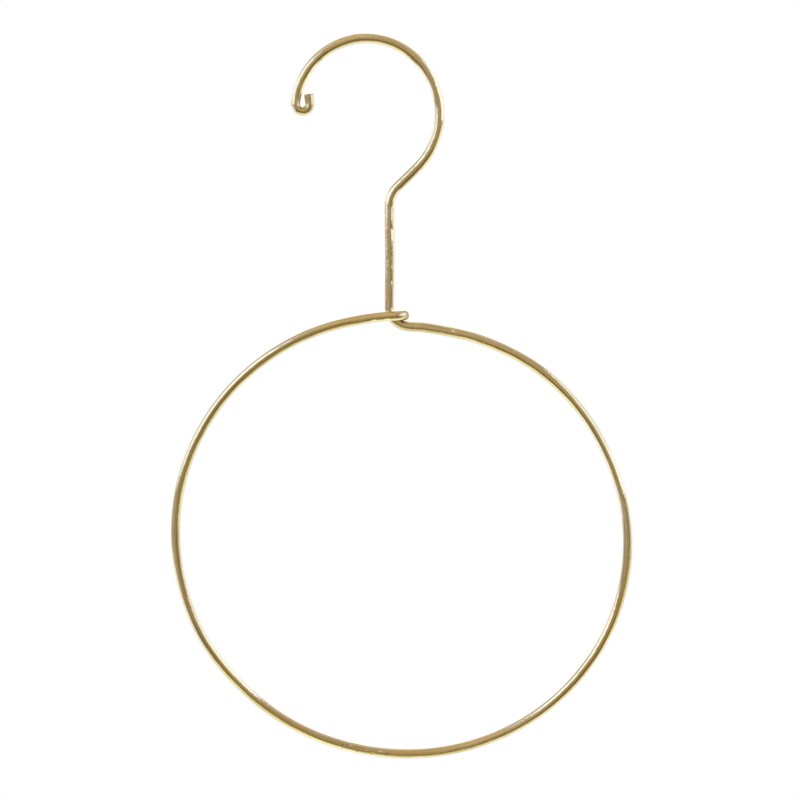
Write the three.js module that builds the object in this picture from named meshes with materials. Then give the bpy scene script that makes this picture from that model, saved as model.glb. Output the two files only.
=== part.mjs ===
// A wreath frame bent from one length of round wire: a hanging hook, a straight stem, and a hoop whose
// end turns back round the stem's foot and holds the hoop shut.
//
// Units are millimetres. +Z is up, the hoop lies in the XZ plane, and its front faces -Y. The origin is the
// hook's seat: the inside of the bow's top, where the frame hangs. Each mesh is one stretch of the wire,
// from one bend to the next, in the order that a wire bender makes them.
import * as THREE from "three";

// The wire.
const WIRE_DIAMETER = 4;
const SECTION_SIDES = 16;
const CUT_WIDTH = 0.1; // between two stretches that follow each other
const FLEX_WIDTH = 0.4; // at the hoop's lowest point, where its sprung side turns on the rest

// The hoop starts under the stem and runs clockwise, seen from the front. It is a little oval, and it
// grows by just over a wire's thickness in its one turn, so its end passes outside its start.
const HOOP_RADIUS = 93.7;
const HOOP_GROWTH = 4.55;
const HOOP_OVAL = 2.25;
const HOOP_OVAL_TILT = -12; // degrees from +X to the oval's long axis
const HOOP_FIRST_TURN = 0.015; // where the foot bend has run out into the hoop
const HOOP_LAST_TURN = 0.965; // where the catch begins

// The stem stands a little left of the hoop's centre, and its foot bends out to the right.
const STEM_OFFSET = -6.5;
const STEM_FOOT_HEIGHT = 100; // above the hoop's centre
const STEM_LENGTH = 43.8;
const FOOT_RADIUS = 8.4;
const FOOT_ANGLE = 75;

// The neck carries the wire out to the hook's bow, which tightens towards its tip.
const NECK_RADIUS = 11.5;
const NECK_ANGLE = 45.7;
const NECK_STRAIGHT = 11.7;
const BOW_BACK_RADIUS = 33;
const BOW_BACK_ANGLE = 101.9;
const BOW_FRONT_RADIUS = 30.8;
const BOW_FRONT_ANGLE = 119;

// The tip is turned in on itself, so that the cut end can't snag.
const CURL_RADIUS = 3.1;
const CURL_ANGLE = 192;
const CURL_STRAIGHT = 3.9;

// The catch passes in front of the stem's foot and makes a half turn behind it.
const STEM_CLEARANCE = 0.3;
const CATCH_RADIUS = WIRE_DIAMETER + STEM_CLEARANCE;
const CATCH_LAST_TURN = 0.993; // where the half turn begins
const CATCH_ANGLE = 180;
const CATCH_TAIL = 4.2;

const TO_RIGHT_IN_FRONT = new THREE.Vector3(0, 1, 0); // turning about it is clockwise, seen from the front
const TO_LEFT_IN_FRONT = new THREE.Vector3(0, -1, 0);

/** A bend of one radius: the wire comes in along `direction` and turns about `axis`. */
class Bend extends THREE.Curve {
  constructor(start, direction, axis, radius, angle) {
    super();
    this.start = start.clone();
    this.axis = axis.clone();
    this.angle = angle;
    this.centre = axis.clone().cross(direction).multiplyScalar(radius).add(start);
  }

  getPoint(t, target = new THREE.Vector3()) {
    return target
      .copy(this.start)
      .sub(this.centre)
      .applyAxisAngle(this.axis, t * this.angle)
      .add(this.centre);
  }
}

/** Part of the hoop, from one share of its turn to another. */
class HoopSpan extends THREE.Curve {
  constructor(from, to) {
    super();
    this.from = from;
    this.to = to;
  }

  getPoint(t, target = new THREE.Vector3()) {
    const turn = THREE.MathUtils.lerp(this.from, this.to, t);
    const angle = Math.PI / 2 - 2 * Math.PI * turn;
    const tilt = THREE.MathUtils.degToRad(HOOP_OVAL_TILT);
    const radius = HOOP_RADIUS + HOOP_GROWTH * turn + HOOP_OVAL * Math.cos(2 * (angle - tilt));
    // From its lowest point on, the hoop eases forward to lie in front of the stem.
    const eased = THREE.MathUtils.clamp((turn - 0.5) / (HOOP_LAST_TURN - 0.5), 0, 1);
    const forward = (CATCH_RADIUS * (1 - Math.cos(Math.PI * eased))) / 2;
    return target.set(radius * Math.cos(angle), -forward, radius * Math.sin(angle));
  }
}

/** What is left of a curve when its two ends are cut back. */
class CutBack extends THREE.Curve {
  constructor(curve, startCut, endCut) {
    super();
    this.curve = curve;
    this.from = startCut / curve.getLength();
    this.to = 1 - endCut / curve.getLength();
  }

  getPoint(t, target) {
    return this.curve.getPointAt(THREE.MathUtils.lerp(this.from, this.to, t), target);
  }
}

/** Feeds and bends wire onwards from where it has got to. */
class Bender {
  constructor(point, direction) {
    this.point = point.clone();
    this.direction = direction.clone().normalize();
  }

  feed(length) {
    const end = this.point.clone().addScaledVector(this.direction, length);
    const straight = new THREE.LineCurve3(this.point, end);
    this.point = end.clone();
    return straight;
  }

  bend(axis, radius, degrees) {
    const angle = THREE.MathUtils.degToRad(degrees);
    const bend = new Bend(this.point, this.direction, axis, radius, angle);
    this.point = bend.getPoint(1);
    this.direction = this.direction.clone().applyAxisAngle(axis, angle);
    return bend;
  }
}

/** Joins curves that follow each other into one. */
function chain(...curves) {
  const path = new THREE.CurvePath();
  curves.forEach((curve) => path.add(curve));
  return path;
}

/** The smooth curve that leaves `bender` along its direction and meets `curve` at its start. */
function easeInto(bender, curve) {
  const end = curve.getPoint(0);
  const handle = bender.point.distanceTo(end) / 3;
  return new THREE.CubicBezierCurve3(
    bender.point.clone(),
    bender.point.clone().addScaledVector(bender.direction, handle),
    end.clone().addScaledVector(curve.getTangent(0), -handle),
    end,
  );
}

const brightBrass = new THREE.MeshStandardMaterial({
  color: 0xcfae62,
  roughness: 0.16,
  metalness: 1,
});

function wireSection() {
  const corners = Array.from({ length: SECTION_SIDES }, (_, i) => {
    const angle = (2 * Math.PI * i) / SECTION_SIDES;
    return new THREE.Vector2(Math.cos(angle), Math.sin(angle)).multiplyScalar(WIRE_DIAMETER / 2);
  });
  return new THREE.Shape(corners);
}

/** One stretch of the wire as a closed solid. An end of the whole wire isn't cut back. */
function stretch(name, curve, steps, startCut = CUT_WIDTH / 2, endCut = CUT_WIDTH / 2) {
  const extrudePath = new CutBack(curve, startCut, endCut);
  const geometry = new THREE.ExtrudeGeometry(wireSection(), { extrudePath, steps });
  const mesh = new THREE.Mesh(geometry, brightBrass);
  mesh.name = name;
  return mesh;
}

// Upwards from the stem's foot.
const foot = new THREE.Vector3(STEM_OFFSET, 0, STEM_FOOT_HEIGHT);
const upwards = new Bender(foot, new THREE.Vector3(0, 0, 1));
const stem = upwards.feed(STEM_LENGTH);
const neck = chain(
  upwards.bend(TO_RIGHT_IN_FRONT, NECK_RADIUS, NECK_ANGLE),
  upwards.feed(NECK_STRAIGHT),
);
const bowBack = upwards.bend(TO_LEFT_IN_FRONT, BOW_BACK_RADIUS, BOW_BACK_ANGLE);
const bowFront = upwards.bend(TO_LEFT_IN_FRONT, BOW_FRONT_RADIUS, BOW_FRONT_ANGLE);
const curl = chain(
  upwards.bend(TO_LEFT_IN_FRONT, CURL_RADIUS, CURL_ANGLE),
  upwards.feed(CURL_STRAIGHT),
);

// Downwards from the stem's foot, and once round the hoop.
const downwards = new Bender(foot, new THREE.Vector3(0, 0, -1));
const footBend = downwards.bend(TO_LEFT_IN_FRONT, FOOT_RADIUS, FOOT_ANGLE);
const upperRight = new HoopSpan(HOOP_FIRST_TURN, 0.25);
const lowerRight = new HoopSpan(0.25, 0.5);
const lowerLeft = new HoopSpan(0.5, 0.75);
const upperLeft = new HoopSpan(0.75, HOOP_LAST_TURN);

// Past the stem's front and back behind it.
const frontPass = new HoopSpan(HOOP_LAST_TURN, CATCH_LAST_TURN);
const round = new Bender(frontPass.getPoint(1), frontPass.getTangent(1));
const behind = TO_LEFT_IN_FRONT.clone().cross(round.direction).normalize(); // square to the wire, upwards
const catchHook = chain(
  frontPass,
  round.bend(behind, CATCH_RADIUS, CATCH_ANGLE),
  round.feed(CATCH_TAIL),
);

const wire = new THREE.Group();
wire.add(
  stretch("tip_curl", curl, 22, CUT_WIDTH / 2, 0),
  stretch("hook_bow", chain(bowBack, bowFront), 40),
  stretch("neck_bend", neck, 12),
  stretch("stem", stem, 1),
  stretch("foot_bend", chain(footBend, easeInto(downwards, upperRight)), 16),
  stretch("ring_upper_right", upperRight, 30),
  stretch("ring_lower_right", lowerRight, 30, CUT_WIDTH / 2, FLEX_WIDTH / 2),
  stretch("ring_lower_left", lowerLeft, 30, FLEX_WIDTH / 2, CUT_WIDTH / 2),
  stretch("ring_upper_left", upperLeft, 28),
  stretch("catch", catchHook, 32, CUT_WIDTH / 2, 0),
);

// The seat is the inside of the bow, straight above the centre of its front bend.
const seat = bowFront.centre.clone();
seat.z += BOW_FRONT_RADIUS - WIRE_DIAMETER / 2;
wire.position.copy(seat).negate();

const wreathFrame = new THREE.Group();
wreathFrame.add(wire);

export default wreathFrame;
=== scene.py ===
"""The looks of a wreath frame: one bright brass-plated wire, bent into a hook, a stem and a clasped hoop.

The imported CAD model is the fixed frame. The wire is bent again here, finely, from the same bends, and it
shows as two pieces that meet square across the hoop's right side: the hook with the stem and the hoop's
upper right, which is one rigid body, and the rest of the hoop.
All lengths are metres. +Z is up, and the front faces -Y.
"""

import math

import bpy
import numpy as np
from mathutils import Matrix, Vector

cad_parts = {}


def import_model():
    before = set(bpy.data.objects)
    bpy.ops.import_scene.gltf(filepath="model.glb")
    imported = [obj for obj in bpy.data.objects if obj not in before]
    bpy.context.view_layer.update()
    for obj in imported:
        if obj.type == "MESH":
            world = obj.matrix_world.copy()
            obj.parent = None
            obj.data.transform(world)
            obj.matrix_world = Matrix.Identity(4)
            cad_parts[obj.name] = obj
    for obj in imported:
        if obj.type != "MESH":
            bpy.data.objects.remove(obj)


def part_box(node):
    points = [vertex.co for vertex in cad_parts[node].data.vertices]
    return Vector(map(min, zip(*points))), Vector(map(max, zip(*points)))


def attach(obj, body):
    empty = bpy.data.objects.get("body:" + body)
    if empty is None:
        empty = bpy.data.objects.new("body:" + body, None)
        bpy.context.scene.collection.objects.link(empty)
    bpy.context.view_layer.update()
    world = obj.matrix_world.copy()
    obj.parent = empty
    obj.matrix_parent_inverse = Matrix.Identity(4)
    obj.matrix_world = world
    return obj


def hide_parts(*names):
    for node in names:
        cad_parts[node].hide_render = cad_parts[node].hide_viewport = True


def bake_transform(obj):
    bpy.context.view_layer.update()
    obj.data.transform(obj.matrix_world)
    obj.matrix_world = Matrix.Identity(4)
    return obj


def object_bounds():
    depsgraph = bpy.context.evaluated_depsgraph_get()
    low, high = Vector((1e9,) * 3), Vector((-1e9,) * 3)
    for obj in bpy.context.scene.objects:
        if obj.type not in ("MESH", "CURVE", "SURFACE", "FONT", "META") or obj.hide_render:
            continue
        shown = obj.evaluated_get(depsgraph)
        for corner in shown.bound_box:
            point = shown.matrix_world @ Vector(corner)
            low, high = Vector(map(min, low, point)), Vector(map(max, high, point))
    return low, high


MM = 0.001

# The hoop, seen from the front, runs clockwise from under the stem. See hoop_point.
HOOP_RADIUS = 93.7 * MM
HOOP_GROWTH = 4.55 * MM
HOOP_OVAL = 2.25 * MM
HOOP_OVAL_TILT = math.radians(-12)
HOOP_FIRST_TURN = 0.015
HOOP_FLEX_TURN = 0.5
HOOP_LAST_TURN = 0.965
SEAM_TURN = 0.25  # where the two pieces meet

# The stem's foot, and what the wire does above and below it.
STEM_OFFSET = -6.5 * MM
STEM_FOOT_HEIGHT = 100 * MM
FOOT_RADIUS, FOOT_ANGLE = 8.4 * MM, 75
NECK_RADIUS, NECK_ANGLE, NECK_STRAIGHT = 11.5 * MM, 45.7, 11.7 * MM
BOW_BACK_RADIUS, BOW_BACK_ANGLE = 33 * MM, 101.9
BOW_FRONT_RADIUS, BOW_FRONT_ANGLE = 30.8 * MM, 119
CURL_RADIUS, CURL_ANGLE, CURL_STRAIGHT = 3.1 * MM, 192, 3.9 * MM
CATCH_RADIUS, CATCH_ANGLE, CATCH_TAIL = 4.3 * MM, 180, 4.2 * MM
CATCH_LAST_TURN = 0.993
NODE_GAP = 0.1 * MM  # that the CAD model leaves between two stretches of the wire

# Small faults of hand and bench. Places are distances along the wire from the hook's tip.
# Drift: place, how far the line runs to the left of its way, and the reach of that.
DRIFTS = (
    (182 * MM, 0.20 * MM, 17 * MM),
    (231 * MM, -0.38 * MM, 9 * MM),
    (277 * MM, 0.52 * MM, 20 * MM),
    (330 * MM, -0.28 * MM, 16 * MM),
    (588 * MM, -0.28 * MM, 14 * MM),
    (618 * MM, 0.26 * MM, 12 * MM),
    (797 * MM, -0.34 * MM, 16 * MM),
)
# Kinks: the same, with a crease in the middle, where a former let go and took hold again.
KINKS = (
    (30 * MM, -0.05 * MM, 5 * MM),
    (56.5 * MM, 0.13 * MM, 5 * MM),
    (88 * MM, -0.05 * MM, 6 * MM),
    (113.7 * MM, 0.10 * MM, 4 * MM),
    (122.2 * MM, -0.10 * MM, 4 * MM),
    (300 * MM, 0.05 * MM, 9 * MM),
    (420 * MM, -0.06 * MM, 12 * MM),
    (548 * MM, 0.05 * MM, 9 * MM),
    (705 * MM, 0.06 * MM, 10 * MM),
)
# Dents: place, degrees round the wire from its left side over its front, depth, length and width.
DENTS = (
    (12.5 * MM, 5, 0.26 * MM, 0.8 * MM, 1.1 * MM),
    (56.5 * MM, 95, 0.10 * MM, 0.9 * MM, 1.4 * MM),
    (168.0 * MM, 60, 0.10 * MM, 1.6 * MM, 0.6 * MM),
    (181.0 * MM, 120, 0.08 * MM, 2.2 * MM, 0.6 * MM),
    (190.0 * MM, 70, 0.09 * MM, 1.4 * MM, 0.6 * MM),
    (234.4 * MM, 62, 0.34 * MM, 0.5 * MM, 0.9 * MM),
    (248.0 * MM, 120, 0.14 * MM, 1.2 * MM, 0.7 * MM),
    (803.0 * MM, 138, 0.26 * MM, 1.0 * MM, 0.7 * MM),
    (808.6 * MM, 140, 0.22 * MM, 0.9 * MM, 0.6 * MM),
)
# A row of small round dents near the hoop's lowest point: place and degrees round the wire, as above.
SMALL_DENTS = (
    (518.5 * MM, 85),
    (521.5 * MM, 110),
    (525.0 * MM, 70),
    (528.0 * MM, 100),
    (531.5 * MM, 75),
    (534.5 * MM, 120),
    (538.0 * MM, 90),
)
SMALL_DENT_SIZE = (0.26 * MM, 0.4 * MM, 0.4 * MM)
ALL_DENTS = DENTS + tuple((*dent, *SMALL_DENT_SIZE) for dent in SMALL_DENTS)
KINK_CREASE = 0.7 * MM  # how far along the wire a kink's crease is rounded

# The mesh.
SIDES = 56
COARSE_STEP = 0.8 * MM
FINE_STEP = 0.2 * MM
TIGHT_RADIUS = 16 * MM  # a tighter bend gets the fine step
DRAWN_STEP = 0.1 * MM  # of the centre line, before its rings are spaced out
CUT_INSET = 0.3 * MM  # how far back from a cut end its edge starts to round
CUT_EDGE = 0.16  # the share of the radius that the edge rounds away
CUT_EDGE_STEPS = 6
CUT_INNER_SHARES = (0.66, 0.46, 0.24)  # of that radius, for the rings across the cut's face
CUT_RIDGE = 0.16 * MM  # the ridge that the cutter leaves across the face
CUT_RIDGE_TURN = 0.5  # radians round the wire
FLATTENING = 0.10  # of a bend as tight as the wire's own radius
OVALITY = 0.018 * MM  # the drawn wire's section is never a true circle
RIPPLES = (11 * MM, 17 * MM, 29 * MM, 47 * MM)  # the lengths over which its oval turns
FULLER = 0.08 * MM  # the radius that the thicker plate adds on the hook and the stem
FULLER_UNTIL = (215 * MM, 330 * MM)  # where that starts to fade, and where it is gone
# Along the wire: painted shade, for a dark reflection, browns the plate on the catch's turn. It fades in, and
# out again.
PAINTED_SHADE_FROM = (815.4 * MM, 817.0 * MM)
PAINTED_SHADE_UNTIL = (821.5 * MM, 825.0 * MM)

# The picture.
VIEW_DISTANCE = 2.0
VIEW_WIDTH = 347.07 * MM  # what the picture spans at the wire
VIEW_ASIDE = -0.77 * MM  # of the picture's middle from the middle of the CAD model's box
VIEW_ABOVE = -1.61 * MM
SENSOR_WIDTH = 36.0  # mm, as the camera's lens

TO_RIGHT = np.array((0.0, 1.0, 0.0))  # turning about it is clockwise, seen from the front
TO_LEFT = -TO_RIGHT
UP = np.array((0.0, 0.0, 1.0))

# The plate's colours.
PLATE = (0.90, 0.76, 0.47)
PLATE_WARM = (0.92, 0.73, 0.42)
PLATE_BENT = (0.79, 0.68, 0.46)
PLATE_DARK_LINE = (0.58, 0.45, 0.22)
PLATE_LIGHT_LINE = (0.95, 0.84, 0.58)
PLATE_MOTTLE = (0.66, 0.56, 0.30)
# Painted shade: the brown that stands in for a dark reflection on the catch's turn.
PLATE_PAINTED_SHADE = (0.34, 0.24, 0.10)
PLATE_PITTED = (0.40, 0.27, 0.12)
GRAZING_TINT = (1.0, 0.93, 0.72, 1.0)
# Its relief, from low to high, in metres.
LINES_RELIEF = 1.3e-6
STREAKS_RELIEF = 4.5e-5
PEEL_RELIEF = 5.5e-5
WAVES_RELIEF = 1.2e-4
PIT_RELIEF = -3.0e-5
CRAZING_RELIEF = 9.0e-6
SHEAR_RELIEF = 5.0e-5

# What the wire mirrors: radiances of the studio round it. A wedge of directions round the Y axis has its
# middle (0 is right, 90 is up), its half width and the softness of its sides, in degrees.
# A rise or a fall starts and ends at two Ys of a unit vector towards it, or at two Zs for the room.
ROOM_BELOW = (0.26, 0.205, 0.085)
ROOM_ABOVE = (0.42, 0.355, 0.29)
ROOM_RISE = (-0.3, 0.45)
ROOM_MIDDLE = (0.42, 0.372, 0.31)
ROOM_MIDDLE_FALL = (-1.0, -0.93)
CEILING_NEAR = (0.48, 0.40, 0.30)
CEILING_FAR = (0.68, 0.66, 0.66)
CEILING_RISE = (-0.5, 0.9)
CEILING_WEDGE = (81, 35, 5)
CEILING_LAMP = (0.64, 0.53, 0.35)
CEILING_LAMP_WEDGE = (102, 13, 8)
CEILING_LAMP_RISE = (-1.0, -0.86)
CEILING_LAMP_FALL = (-0.2, 0.3)
PAPER = (1.11, 1.23, 1.55)
PAPER_WARM = (1.06, 1.08, 0.80)
PAPER_WARM_WEDGE = (332, 22, 6)
PAPER_WARM_FALL = (-0.1, 0.5)
PAPER_RISE = (-0.72, 0.3)
# In some wedges the paper rises elsewhere: middle, half width, and the two Ys.
PAPER_EDGES_SOFTNESS = 5
PAPER_EDGES = (
    (180, 12, -0.4, 1.25),
    (204, 14, -0.52, 0.02),
    (270, 50, -0.1, 0.5),
    (329, 9, -0.55, 0.05),
    (346, 8, -0.85, 0.0),
    (2, 8, -0.66, 0.45),
)
BEHIND_ABOVE = (0.52, 0.48, 0.40)
BEHIND_ABOVE_WEDGE = (118, 30, 8)
BEHIND_ABOVE_RISE = (0.0, 0.3)
LEFT_WALL = (0.47, 0.44, 0.38)
LEFT_WALL_WEDGE = (189, 15, 8)
LEFT_WALL_RISE = (-0.98, -0.85)
LEFT_WALL_FALL = (-0.6, -0.3)
OPENING = (0.5, 0.44, 0.36)
OPENING_RISE = (0.86, 0.95)
# The softboxes: a direction as above, how far away, the direction that its back faces, how wide and how deep
# from front to back, how far it is moved back, how many degrees its far edge is turned down, and the slopes
# at which its side at the lowest X and its near edge run askew.
SOFTBOX_RADIANCE = (1.14, 1.32, 1.75)
SOFT_EDGE = 0.15  # of a softbox's or the sheet's size
SOFTBOXES = (
    ("softbox_left", 145, 0.75, 145, 0.69, 1.30, -0.37, 8, 0, 0),
    ("softbox_right", 27.5, 0.68, 51, 0.52, 1.42, -0.27, 0, 0.21, 0.6),
)
# The sheet of white paper below.
SHEET_DROP = 0.33  # from the frame's lowest point
SHEET_SIZE = 1.3
SHEET_MIDDLE = (-0.12, 0.10)  # the X between which its left start runs over into its right one
SHEET_START_LEFT = -0.56  # Y
SHEET_START_RIGHT = -0.42
SHEET_RISE = 0.46  # from where it starts to where it is bright
SHEET_NEAR = (1.02, 1.02, 0.50)
SHEET_FAR = (1.12, 1.21, 1.25)
SHEET_FADE = (-0.45, 0.2)  # the Y between which the near colour runs over into the far one


# ---------------------------------------------------------------- the wire's centre line


def turned(vector, axis, angle):
    """A vector turned about a unit axis."""
    along = axis * (axis @ vector)
    return along + (vector - along) * math.cos(angle) + np.cross(axis, vector) * math.sin(angle)


def unit(vector):
    return vector / np.linalg.norm(vector)


def shares(length):
    """Even shares from just over 0 to 1, about a drawn step apart."""
    return np.linspace(0, 1, math.ceil(length / DRAWN_STEP) + 1)[1:]


class Bender:
    """Feeds and bends wire onwards from a point, and keeps the centre line that it makes."""

    def __init__(self, point, direction):
        self.line = [np.array(point)]
        self.direction = unit(np.array(direction))

    def feed(self, length):
        start = self.line[-1]
        self.line += [start + share * length * self.direction for share in shares(length)]

    def bend(self, axis, radius, degrees):
        angle = math.radians(degrees)
        start = self.line[-1]
        centre = start + radius * np.cross(axis, self.direction)
        for share in shares(radius * angle):
            self.line.append(centre + turned(start - centre, axis, share * angle))
        self.direction = turned(self.direction, axis, angle)


def hoop_point(turn):
    """The hoop's centre line after a share of its turn, from the hoop's centre.

    It is a little oval, it grows as it goes, and from its lowest point on it eases forward.
    """
    angle = math.pi / 2 - 2 * math.pi * turn
    radius = HOOP_RADIUS + HOOP_GROWTH * turn + HOOP_OVAL * math.cos(2 * (angle - HOOP_OVAL_TILT))
    share = (turn - HOOP_FLEX_TURN) / (HOOP_LAST_TURN - HOOP_FLEX_TURN)
    share = min(max(share, 0), 1)
    forward = CATCH_RADIUS * (1 - math.cos(math.pi * share)) / 2
    return np.array((radius * math.cos(angle), -forward, radius * math.sin(angle)))


def hoop_direction(turn):
    ahead = 1e-5
    return unit(hoop_point(turn + ahead) - hoop_point(turn))


def eased(start, start_direction, end, end_direction):
    """The smooth curve between two points that leaves and arrives in these directions."""
    handle = np.linalg.norm(end - start) / 3
    first = start + handle * start_direction
    second = end - handle * end_direction
    curve = []
    for t in shares(3 * handle):
        u = 1 - t
        curve.append(u**3 * start + 3 * u * u * t * first + 3 * u * t * t * second + t**3 * end)
    return curve


def wire_line(stem_length):
    """The whole centre line from the hook's tip to the catch's tail, and the index of the seam."""
    foot = (STEM_OFFSET, 0.0, STEM_FOOT_HEIGHT)
    above = Bender(foot, UP)
    above.feed(stem_length)
    above.bend(TO_RIGHT, NECK_RADIUS, NECK_ANGLE)
    above.feed(NECK_STRAIGHT)
    above.bend(TO_LEFT, BOW_BACK_RADIUS, BOW_BACK_ANGLE)
    above.bend(TO_LEFT, BOW_FRONT_RADIUS, BOW_FRONT_ANGLE)
    above.bend(TO_LEFT, CURL_RADIUS, CURL_ANGLE)
    above.feed(CURL_STRAIGHT)

    below = Bender(foot, -UP)
    below.bend(TO_LEFT, FOOT_RADIUS, FOOT_ANGLE)
    hoop_start = hoop_point(HOOP_FIRST_TURN)
    below.line += eased(below.line[-1], below.direction, hoop_start, hoop_direction(HOOP_FIRST_TURN))
    round_length = 2 * math.pi * HOOP_RADIUS
    for turn in HOOP_FIRST_TURN + (SEAM_TURN - HOOP_FIRST_TURN) * shares(round_length * SEAM_TURN):
        below.line.append(hoop_point(turn))
    seam = len(above.line) + len(below.line) - 2
    for turn in SEAM_TURN + (CATCH_LAST_TURN - SEAM_TURN) * shares(round_length * (1 - SEAM_TURN)):
        below.line.append(hoop_point(turn))

    catch = Bender(below.line[-1], hoop_direction(CATCH_LAST_TURN))
    behind = unit(np.cross(TO_LEFT, catch.direction))
    catch.bend(behind, CATCH_RADIUS, CATCH_ANGLE)
    catch.feed(CATCH_TAIL)
    return np.array(above.line[::-1] + below.line[1:] + catch.line[1:]), seam


def distances_along(line):
    steps = np.linalg.norm(np.diff(line, axis=0), axis=1)
    return np.concatenate(((0,), np.cumsum(steps)))


def resampled(values, at, wanted):
    """Columns of values known at some distances, at other distances."""
    return np.column_stack([np.interp(wanted, at, column) for column in values.T])


def unit_rows(rows):
    return rows / np.linalg.norm(rows, axis=1)[:, None]


class Line:
    """The wire's centre line with rings spaced along it, closer where it bends or is dented."""

    def __init__(self, line, seam, thickness):
        along = distances_along(line)
        tangents = unit_rows(np.gradient(line, along, axis=0))
        bend = np.linalg.norm(np.gradient(tangents, along, axis=0), axis=1)
        self.total = along[-1]
        self.along, self.seam = self.ring_places(along, bend, seam, thickness)
        self.points = resampled(line, along, self.along)
        self.tangents = unit_rows(resampled(tangents, along, self.along))
        self.left = self.carried_left()
        self.points += self.left * self.drift()[:, None]
        self.tangents = unit_rows(np.gradient(self.points, self.along, axis=0))
        self.left = self.carried_left()
        self.front = np.cross(self.tangents, self.left)
        self.bend_vectors = self.smooth(np.gradient(self.tangents, self.along, axis=0))

    def ring_places(self, along, bend, seam, thickness):
        """How far along the wire each ring is, and the index of the ring on the seam."""
        fine = bend > 1 / TIGHT_RADIUS
        for place, _, _, length, _ in ALL_DENTS:
            fine |= abs(along - place) < 3 * length
        for end in (0, self.total):
            fine |= abs(along - end) < thickness
        paces = np.cumsum(np.gradient(along) / np.where(fine, FINE_STEP, COARSE_STEP))
        # Whole numbers of rings on both sides of the seam, so that one ring lies on it.
        before = np.linspace(paces[0], paces[seam], round(paces[seam] - paces[0]))
        after = np.linspace(paces[seam], paces[-1], round(paces[-1] - paces[seam]))
        places = np.interp(np.concatenate((before, after[1:])), paces, along)
        places[0] = CUT_INSET
        places[-1] = self.total - CUT_INSET
        return places, len(before) - 1

    def carried_left(self):
        """The side on the wire's left, seen from the front, carried along it without a twist."""
        carried = [unit(np.cross(self.tangents[0], TO_RIGHT))]
        for tangent in self.tangents[1:]:
            carried.append(unit(carried[-1] - tangent * (tangent @ carried[-1])))
        return np.array(carried)

    def drift(self):
        drift = np.zeros(len(self.along))
        for place, left, reach in DRIFTS:
            drift += left * np.exp(-(((self.along - place) / reach) ** 2))
        for place, left, reach in KINKS:
            away = np.sqrt((self.along - place) ** 2 + KINK_CREASE**2)
            drift += left * np.exp(-away / reach)
        return drift

    def smooth(self, rows, reach=1.2 * MM):
        """Rows averaged along the wire, so that a bend's flattening starts and ends gently."""
        even = np.arange(0, self.total, DRAWN_STEP)
        kernel = np.hanning(2 * round(2 * reach / DRAWN_STEP) + 1)
        kernel /= kernel.sum()
        columns = resampled(rows, self.along, even).T
        smoothed = np.column_stack([np.convolve(column, kernel, "same") for column in columns])
        return resampled(smoothed, even, self.along)


# ---------------------------------------------------------------- the wire's surface


def section_radii(line, radius, around):
    """The distance from the centre line to the surface, for each ring (rows) and each side."""
    along = line.along[:, None]
    fading = np.clip((along - FULLER_UNTIL[0]) / (FULLER_UNTIL[1] - FULLER_UNTIL[0]), 0, 1)
    radii = np.repeat(radius + FULLER * (1 - fading), len(around), axis=1)
    # Slow ripples left by the drawing die and the straightening rolls.
    rng = np.random.default_rng(7)
    for wavelength in RIPPLES:
        phase, turn = rng.uniform(0, 2 * math.pi, 2)
        swell = np.cos(2 * math.pi * along / wavelength + phase)
        radii += OVALITY * swell * np.cos(2 * around - turn)
    for place, degrees, depth, length, width in ALL_DENTS:
        apart = (around - math.radians(degrees) + math.pi) % (2 * math.pi) - math.pi
        away = ((along - place) / length) ** 2 + (radius * apart / width) ** 2
        radii -= depth * np.exp(-away)
    return radii


def rings_of(line, thickness):
    """The surface's points, ring by ring, and how tight each ring's bend is (0 straight, 1 tightest)."""
    radius = thickness / 2
    around = np.linspace(0, 2 * math.pi, SIDES, endpoint=False)
    radii = section_radii(line, radius, around)[:, :, None]
    left, front = line.left[:, None, :], line.front[:, None, :]
    offsets = radii * (np.cos(around)[None, :, None] * left + np.sin(around)[None, :, None] * front)
    bend = np.linalg.norm(line.bend_vectors, axis=1)
    towards = line.bend_vectors / np.maximum(bend, 1e-9)[:, None]
    tight = np.clip(bend * radius, 0, 1)
    # A bend makes the wire thinner in its own plane and a little wider across.
    inwards = np.einsum("rsc,rc->rs", offsets, towards)[:, :, None] * towards[:, None, :]
    flat = FLATTENING * tight[:, None, None]
    offsets = offsets * (1 + flat / 2) - inwards * 1.5 * flat
    return line.points[:, None, :] + offsets, around, tight


def cut_profile():
    """A cut end from its last full ring to near its middle: how far onwards, and the share of the radius."""
    profile = []
    for step in range(1, CUT_EDGE_STEPS + 1):
        angle = math.pi / 2 * step / CUT_EDGE_STEPS
        profile.append((CUT_INSET * math.sin(angle), 1 - CUT_EDGE * (1 - math.cos(angle))))
    return profile + [(CUT_INSET, share) for share in CUT_INNER_SHARES]


class Surface:
    """Collects rings of points into a closed tube, with where each point was on the straight wire."""

    def __init__(self):
        self.points = []
        self.unbent = []
        self.tight = []
        self.cut = []
        self.faces = []
        self.last_ring = None
        self.square_ends = set()

    def ring(self, points, unbent, tight, cut=0.0):
        first = len(self.points)
        self.points += list(points)
        self.unbent += list(unbent)
        self.tight += [tight] * len(points)
        self.cut += [cut] * len(points)
        if self.last_ring is not None:
            for side in range(SIDES):
                after = (side + 1) % SIDES
                low, high = self.last_ring, first
                self.faces.append((low + side, low + after, high + after, high + side))
        self.last_ring = first

    def close(self, ring, point, along, facing_back, cut):
        """A fan of triangles from the ring that starts at this index to a point in the middle."""
        if not cut:
            self.square_ends.update(range(ring, ring + SIDES))
        middle = len(self.points)
        self.points.append(point)
        self.unbent.append((0, 0, along))
        self.tight.append(0.0)
        self.cut.append(cut)
        for side in range(SIDES):
            pair = (ring + side, ring + (side + 1) % SIDES)
            if facing_back:
                pair = pair[::-1]
            self.faces.append((*pair, middle))


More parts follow.
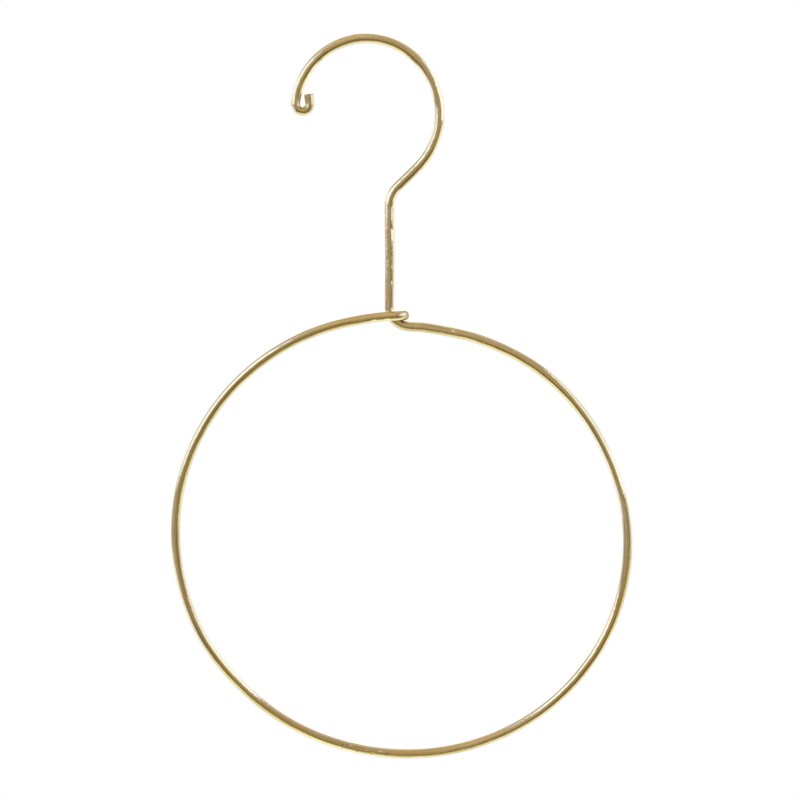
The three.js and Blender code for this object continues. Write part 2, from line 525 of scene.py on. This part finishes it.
def cut_rings(ring, outwards, along, radius, around):
    """Rings over a cut end, from the wire's side to its middle, and the middle point."""
    centre = ring.mean(axis=0)
    made = []
    for onwards, share in cut_profile():
        raised = CUT_RIDGE * (1 - abs(np.cos(around - CUT_RIDGE_TURN)) * share) * (share < 1)
        points = centre + (ring - centre) * share + outwards * (onwards + raised)[:, None]
        unbent = unbent_ring(radius * share, around, along)
        made.append((points, unbent))
    return made, centre + outwards * (CUT_INSET + CUT_RIDGE)


def unbent_ring(radius, around, along):
    return np.column_stack((radius * np.cos(around), radius * np.sin(around), np.full(SIDES, along)))


def tube(name, line, rings, around, tight, first, last, thickness):
    """A closed tube over the rings from first to last. An end that is the wire's own end is a cut one."""
    radius = thickness / 2
    surface = Surface()
    starts_cut = first == 0
    ends_cut = last == len(rings) - 1
    start_middle = line.points[first]
    end_middle = line.points[last]
    if starts_cut:
        made, start_middle = cut_rings(rings[0], -line.tangents[0], 0.0, radius, around)
        for points, unbent in made[::-1]:
            surface.ring(points, unbent, 0.0, 1.0)
    for index in range(first, last + 1):
        surface.ring(rings[index], unbent_ring(radius, around, line.along[index]), tight[index])
    if ends_cut:
        made, end_middle = cut_rings(rings[-1], line.tangents[-1], line.total, radius, around)
        for points, unbent in made:
            surface.ring(points, unbent, 0.0, 1.0)
    surface.close(surface.last_ring, end_middle, line.along[last], False, float(ends_cut))
    surface.close(0, start_middle, line.along[first], True, float(starts_cut))
    return mesh_object(name, surface)


def mesh_object(name, surface):
    mesh = bpy.data.meshes.new(name)
    mesh.from_pydata([tuple(point) for point in surface.points], [], surface.faces)
    mesh.polygons.foreach_set("use_smooth", [True] * len(mesh.polygons))
    sharp = [all(end in surface.square_ends for end in edge.vertices) for edge in mesh.edges]
    mesh.attributes.new("sharp_edge", "BOOLEAN", "EDGE").data.foreach_set("value", sharp)
    unbent = mesh.attributes.new("unbent", "FLOAT_VECTOR", "POINT")
    unbent.data.foreach_set("vector", np.array(surface.unbent, dtype=np.float32).ravel())
    for attribute_name, values in (("tight", surface.tight), ("cut", surface.cut)):
        attribute = mesh.attributes.new(attribute_name, "FLOAT", "POINT")
        attribute.data.foreach_set("value", np.array(values, dtype=np.float32))
    mesh.update()
    piece = bpy.data.objects.new(name, mesh)
    bpy.context.scene.collection.objects.link(piece)
    return piece


# ---------------------------------------------------------------- materials and light


def node(tree, kind, inputs=None, **settings):
    """Adds a shader node. An input is a value, or the output socket that feeds it."""
    made = tree.nodes.new("ShaderNode" + kind)
    for key, value in settings.items():
        setattr(made, key, value)
    for key, value in (inputs or {}).items():
        if isinstance(value, bpy.types.NodeSocket):
            tree.links.new(value, made.inputs[key])
        else:
            made.inputs[key].default_value = value
    return made


def math_node(tree, operation, *values):
    return node(tree, "Math", dict(enumerate(values)), operation=operation).outputs[0]


def smooth_step(tree, value, low, high, to_low=0.0, to_high=1.0, kind="SMOOTHSTEP"):
    inputs = {"Value": value, "From Min": low, "From Max": high, "To Min": to_low, "To Max": to_high}
    return node(tree, "MapRange", inputs, interpolation_type=kind).outputs["Result"]


def mixed_colour(tree, share, first, second):
    made = node(tree, "Mix", data_type="RGBA")
    for socket, value in ((made.inputs[0], share), (made.inputs[6], first), (made.inputs[7], second)):
        if isinstance(value, bpy.types.NodeSocket):
            tree.links.new(value, socket)
        elif isinstance(value, tuple):
            socket.default_value = (*value, 1)
        else:
            socket.default_value = value
    return made.outputs[2]


def noise(tree, vector, factors, scale, detail=2.0, roughness=0.5):
    """Noise, squeezed along the vector's axes by these factors: one under 1 draws it out."""
    squeezed = node(tree, "VectorMath", {0: vector, 1: factors}, operation="MULTIPLY").outputs[0]
    inputs = {"Vector": squeezed, "Scale": scale, "Detail": detail, "Roughness": roughness}
    return node(tree, "TexNoise", inputs).outputs["Fac"]


def brass_plate():
    """Bright brass plate on drawn wire: drawing lines, orange peel, pits, smudges, dulled tight bends,
    painted shade.
    """
    material = bpy.data.materials.new("bright_brass_plate")
    material.use_nodes = True
    tree = material.node_tree
    tree.nodes.clear()
    unbent = node(tree, "Attribute", attribute_name="unbent").outputs["Vector"]
    along = node(tree, "SeparateXYZ", {0: unbent}).outputs["Z"]
    tight = node(tree, "Attribute", attribute_name="tight").outputs["Fac"]
    cut = node(tree, "Attribute", attribute_name="cut").outputs["Fac"]

    # Relief. The drawing lines run along the wire, the crazing at tight bends and the shear marks across it.
    lines = noise(tree, unbent, (1, 1, 0.012), scale=3600, detail=3.0, roughness=0.6)
    streaks = noise(tree, unbent, (1, 1, 0.03), scale=1300)
    peel = noise(tree, unbent, (1, 1, 0.6), scale=900)
    waves = noise(tree, unbent, (1, 1, 0.7), scale=170)
    crazing = noise(tree, unbent, (0.5, 0.5, 1.6), scale=2600, detail=3.0, roughness=0.65)
    shear = noise(tree, unbent, (1, 0.1, 1), scale=3200, detail=3.0, roughness=0.7)
    cells = node(tree, "TexVoronoi", {"Vector": unbent, "Scale": 420.0}, feature="F1")
    chance = node(tree, "SeparateColor", {"Color": cells.outputs["Color"]}).outputs[0]
    rare = math_node(tree, "GREATER_THAN", chance, 0.86)
    pit = smooth_step(tree, cells.outputs["Distance"], 0.03, 0.11, 1.0, 0.0)
    pit = math_node(tree, "MULTIPLY", pit, rare)
    bent = smooth_step(tree, tight, 0.12, 0.6)

    crazed = math_node(tree, "MULTIPLY", crazing, bent)
    sheared = math_node(tree, "MULTIPLY", shear, cut)
    height = math_node(tree, "MULTIPLY", lines, LINES_RELIEF)
    for value, relief in (
        (streaks, STREAKS_RELIEF),
        (peel, PEEL_RELIEF),
        (waves, WAVES_RELIEF),
        (pit, PIT_RELIEF),
        (crazed, CRAZING_RELIEF),
        (sheared, SHEAR_RELIEF),
    ):
        height = math_node(tree, "MULTIPLY_ADD", value, relief, height)
    bump = node(tree, "Bump", {"Height": height, "Strength": 1.0, "Distance": 1.0})

    # How it shines: a clear polish, dulled by handling in patches, in pits, at tight bends and on cut ends.
    smudges = noise(tree, unbent, (1, 1, 0.35), scale=75, detail=3.0, roughness=0.6)
    roughness = smooth_step(tree, smudges, 0.38, 0.72, 0.05, 0.13, "LINEAR")
    for value, amount in ((lines, 0.03), (pit, 0.2), (bent, 0.07), (cut, 0.22)):
        roughness = math_node(tree, "MULTIPLY_ADD", value, amount, roughness)

    # Its colour: a pale yellow gold, warmer in slow patches, with dark and light drawing lines and a mottle.
    # It is a little greyer where bent and browner in pits, and painted shade browns the catch's turn.
    patches = noise(tree, unbent, (1, 1, 0.5), scale=42)
    warm = smooth_step(tree, patches, 0.35, 0.68)
    colour = mixed_colour(tree, warm, PLATE, PLATE_WARM)
    greyer = math_node(tree, "MULTIPLY", bent, 0.45)
    colour = mixed_colour(tree, greyer, colour, PLATE_BENT)
    drawn = noise(tree, unbent, (1, 1, 0.016), scale=1350, roughness=0.6)
    dark_line = smooth_step(tree, drawn, 0.47, 0.64, 0.0, 0.7)
    colour = mixed_colour(tree, dark_line, colour, PLATE_DARK_LINE)
    light_line = smooth_step(tree, drawn, 0.46, 0.33, 0.0, 0.8)
    colour = mixed_colour(tree, light_line, colour, PLATE_LIGHT_LINE)
    mottle = noise(tree, unbent, (1, 1, 0.6), scale=650, detail=3.0, roughness=0.65)
    mottled = math_node(tree, "MULTIPLY", smooth_step(tree, mottle, 0.4, 0.65), 0.3)
    colour = mixed_colour(tree, mottled, colour, PLATE_MOTTLE)
    # Painted shade on the catch's turn, in place of the dark things that its bend mirrors.
    painted_shade = smooth_step(tree, along, *PAINTED_SHADE_FROM, 0.0, 0.95)
    painted_shade = math_node(tree, "MULTIPLY", painted_shade, smooth_step(tree, along, *PAINTED_SHADE_UNTIL, 1.0, 0.0))
    colour = mixed_colour(tree, painted_shade, colour, PLATE_PAINTED_SHADE)
    browner = math_node(tree, "MULTIPLY", pit, 0.7)
    colour = mixed_colour(tree, browner, colour, PLATE_PITTED)
    shader = node(
        tree,
        "BsdfPrincipled",
        {
            "Base Color": colour,
            "Metallic": 1.0,
            "Roughness": roughness,
            "Specular Tint": GRAZING_TINT,
            "Normal": bump.outputs["Normal"],
        },
    )
    output = node(tree, "OutputMaterial")
    tree.links.new(shader.outputs[0], output.inputs[0])
    return material


def studio_world():
    """A white surround for the camera. What the wire mirrors is a studio: a dim warm room in front with a
    brown ceiling, and white paper that brightens towards the back."""
    world = bpy.data.worlds.new("studio")
    bpy.context.scene.world = world
    world.use_nodes = True
    tree = world.node_tree
    tree.nodes.clear()
    direction = node(tree, "TexCoord").outputs["Generated"]
    axes = node(tree, "SeparateXYZ", {0: direction})
    x, y, z = axes.outputs
    across = math_node(tree, "SQRT", math_node(tree, "SUBTRACT", 1.0, math_node(tree, "MULTIPLY", y, y)))

    def wedge(degrees, half_width, softness):
        """1 in a wedge of directions round the Y axis, and 0 outside it."""
        angle = math.radians(degrees)
        near = math_node(tree, "MULTIPLY", x, math.cos(angle))
        near = math_node(tree, "MULTIPLY_ADD", z, math.sin(angle), near)
        near = math_node(tree, "DIVIDE", near, across)
        outer = math.cos(math.radians(half_width + softness))
        inner = math.cos(math.radians(half_width - softness))
        return smooth_step(tree, near, outer, inner)

    def rise(between, kind="SMOOTHSTEP"):
        return smooth_step(tree, y, *between, kind=kind)

    def fall(between, start=1.0):
        return smooth_step(tree, y, *between, start, 0.0)

    # The room is dimmest below, except straight in front.
    room = mixed_colour(tree, smooth_step(tree, z, *ROOM_RISE), ROOM_BELOW, ROOM_ABOVE)
    middle = fall(ROOM_MIDDLE_FALL, 0.8)
    room = mixed_colour(tree, middle, room, ROOM_MIDDLE)
    # The paper's brightness rises from its near edge to its far one, and these differ round the frame.
    share = rise(PAPER_RISE, "LINEAR")
    for degrees, half_width, near_edge, far_edge in PAPER_EDGES:
        edged = rise((near_edge, far_edge), "LINEAR")
        here = wedge(degrees, half_width, PAPER_EDGES_SOFTNESS)
        share = node(tree, "Mix", {0: here, 2: share, 3: edged}).outputs[0]
    warm_side = math_node(tree, "MULTIPLY", wedge(*PAPER_WARM_WEDGE), fall(PAPER_WARM_FALL))
    paper = mixed_colour(tree, warm_side, PAPER, PAPER_WARM)
    light = mixed_colour(tree, share, room, paper)
    high_behind = math_node(tree, "MULTIPLY", wedge(*BEHIND_ABOVE_WEDGE), rise(BEHIND_ABOVE_RISE))
    light = mixed_colour(tree, high_behind, light, BEHIND_ABOVE)
    wall = math_node(tree, "MULTIPLY", wedge(*LEFT_WALL_WEDGE), rise(LEFT_WALL_RISE))
    wall = math_node(tree, "MULTIPLY", wall, fall(LEFT_WALL_FALL))
    light = mixed_colour(tree, wall, light, LEFT_WALL)
    ceiling = mixed_colour(tree, rise(CEILING_RISE), CEILING_NEAR, CEILING_FAR)
    lamp = math_node(tree, "MULTIPLY", wedge(*CEILING_LAMP_WEDGE), rise(CEILING_LAMP_RISE))
    lamp = math_node(tree, "MULTIPLY", lamp, fall(CEILING_LAMP_FALL))
    ceiling = mixed_colour(tree, lamp, ceiling, CEILING_LAMP)
    light = mixed_colour(tree, wedge(*CEILING_WEDGE), light, ceiling)
    # Straight behind, a darker opening keeps the wire's colour in views from the back.
    light = mixed_colour(tree, rise(OPENING_RISE), light, OPENING)

    surround = node(tree, "Background", {"Color": (1, 1, 1, 1), "Strength": 1.0})
    studio = node(tree, "Background", {"Color": light, "Strength": 1.0})
    seen = node(tree, "LightPath").outputs["Is Camera Ray"]
    both = node(tree, "MixShader", {0: seen, 1: studio.outputs[0], 2: surround.outputs[0]})
    output = node(tree, "OutputWorld")
    tree.links.new(both.outputs[0], output.inputs[0])


def glow_material(name, share, colour):
    """A glow that isn't there where the share is 0.

    `share` makes its socket from the tree and the object's own X and Y. So does `colour`, unless it is fixed.
    """
    material = bpy.data.materials.new(name)
    material.use_nodes = True
    tree = material.node_tree
    tree.nodes.clear()
    place = node(tree, "TexCoord").outputs["Object"]
    x, y, _ = node(tree, "SeparateXYZ", {0: place}).outputs
    shown = colour(tree, x, y) if callable(colour) else (*colour, 1.0)
    glow = node(tree, "Emission", {"Color": shown, "Strength": 1.0})
    clear = node(tree, "BsdfTransparent")
    both = node(tree, "MixShader", {0: share(tree, x, y), 1: clear.outputs[0], 2: glow.outputs[0]})
    output = node(tree, "OutputMaterial")
    tree.links.new(both.outputs[0], output.inputs[0])
    return material


def glowing_sheet(name, width, depth, material, placed):
    """A flat sheet that the camera doesn't see, but the wire does. Before it is placed it lies level."""
    bpy.ops.mesh.primitive_plane_add(size=1)
    sheet = bpy.context.object
    sheet.name = name
    sheet.data.transform(Matrix.Diagonal((width, depth, 1, 1)))
    sheet.matrix_world = placed
    sheet.data.materials.append(material)
    sheet.visible_camera = False


def studio_softboxes(hoop_centre):
    """Two big soft lamps, near enough that hook, stem and hoop mirror them from different sides."""
    for name, degrees, distance, faces, width, depth, back, slant, side_skew, near_skew in SOFTBOXES:

        def share(tree, x, y):
            skewed_x = math_node(tree, "MULTIPLY_ADD", y, side_skew, x)
            skewed_y = math_node(tree, "MULTIPLY_ADD", x, near_skew, y)
            inside = 1.0
            for first, last, size in ((skewed_x, x, width), (skewed_y, y, depth)):
                edge = smooth_step(tree, first, -0.5 * size, (SOFT_EDGE - 0.5) * size)
                inside = math_node(tree, "MULTIPLY", edge, inside)
                edge = smooth_step(tree, last, (0.5 - SOFT_EDGE) * size, 0.5 * size, 1.0, 0.0)
                inside = math_node(tree, "MULTIPLY", edge, inside)
            return inside

        angle = math.radians(degrees)
        outwards = Vector((math.cos(angle) * distance, back, math.sin(angle) * distance))
        turned_in = Matrix.Rotation(math.radians(90 - faces), 4, "Y")
        turned_in = turned_in @ Matrix.Rotation(math.radians(slant), 4, "Z")
        placed = Matrix.Translation(Vector(hoop_centre) + outwards) @ turned_in
        glowing_sheet(name, width, depth, glow_material(name, share, SOFTBOX_RADIANCE), placed)


def studio_sheet(low):
    """White paper below the frame, with a crooked near edge. It starts dim there and gets brighter."""

    def share(tree, x, y):
        start = smooth_step(tree, x, *SHEET_MIDDLE, SHEET_START_LEFT, SHEET_START_RIGHT)
        onto = math_node(tree, "SUBTRACT", y, start)
        away = math_node(tree, "ABSOLUTE", x)
        inside = smooth_step(tree, away, (0.5 - SOFT_EDGE) * SHEET_SIZE, 0.5 * SHEET_SIZE, 1.0, 0.0)
        return math_node(tree, "MULTIPLY", inside, smooth_step(tree, onto, 0.0, SHEET_RISE, kind="LINEAR"))

    def colour(tree, x, y):
        return mixed_colour(tree, smooth_step(tree, y, *SHEET_FADE), SHEET_NEAR, SHEET_FAR)

    placed = Matrix.Translation((0, 0, low.z - SHEET_DROP))
    glowing_sheet("paper_sheet", SHEET_SIZE, SHEET_SIZE, glow_material("white_paper", share, colour), placed)


def camera_in_front(low, high):
    """The camera looks straight at the frame's front, level, from the middle of the picture's height."""
    middle = (low + high) / 2
    data = bpy.data.cameras.new("camera")
    data.sensor_width = SENSOR_WIDTH
    data.lens = SENSOR_WIDTH * VIEW_DISTANCE / VIEW_WIDTH
    camera = bpy.data.objects.new("camera", data)
    camera.location = (middle.x + VIEW_ASIDE, -VIEW_DISTANCE, middle.z + VIEW_ABOVE)
    camera.rotation_euler = (math.pi / 2, 0, 0)
    bpy.context.scene.collection.objects.link(camera)
    bpy.context.scene.camera = camera


def wire_pieces():
    """Bends the wire round the CAD model's stem, as two pieces. Gives the hoop's centre."""
    # The stem's box gives the wire's thickness and its place.
    stem_low, stem_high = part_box("stem")
    thickness = stem_high.x - stem_low.x
    stem_length = stem_high.z - stem_low.z + NODE_GAP
    hoop_centre = np.array(
        (
            (stem_low.x + stem_high.x) / 2 - STEM_OFFSET,
            0.0,
            stem_low.z - NODE_GAP / 2 - STEM_FOOT_HEIGHT,
        )
    )
    points, seam = wire_line(stem_length)
    line = Line(points + hoop_centre, seam, thickness)
    rings, around, tight = rings_of(line, thickness)
    material = brass_plate()

    hook = tube("hook_stem_and_hoop_start", line, rings, around, tight, 0, line.seam, thickness)
    hoop = tube("hoop_and_catch", line, rings, around, tight, line.seam, len(rings) - 1, thickness)
    for piece in (hook, hoop):
        piece.data.materials.append(material)
    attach(hook, "hanger")
    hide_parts("tip_curl", "hook_bow", "neck_bend", "stem", "foot_bend", "ring_upper_right")
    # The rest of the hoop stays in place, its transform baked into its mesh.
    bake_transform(hoop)
    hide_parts("ring_lower_right", "ring_lower_left", "ring_upper_left", "catch")
    return hoop_centre


def build():
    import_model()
    cad_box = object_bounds()
    camera_in_front(*cad_box)
    hoop_centre = wire_pieces()

    studio_world()
    studio_softboxes(hoop_centre)
    studio_sheet(cad_box[0])
    bpy.context.scene.view_settings.view_transform = "Standard"


build()
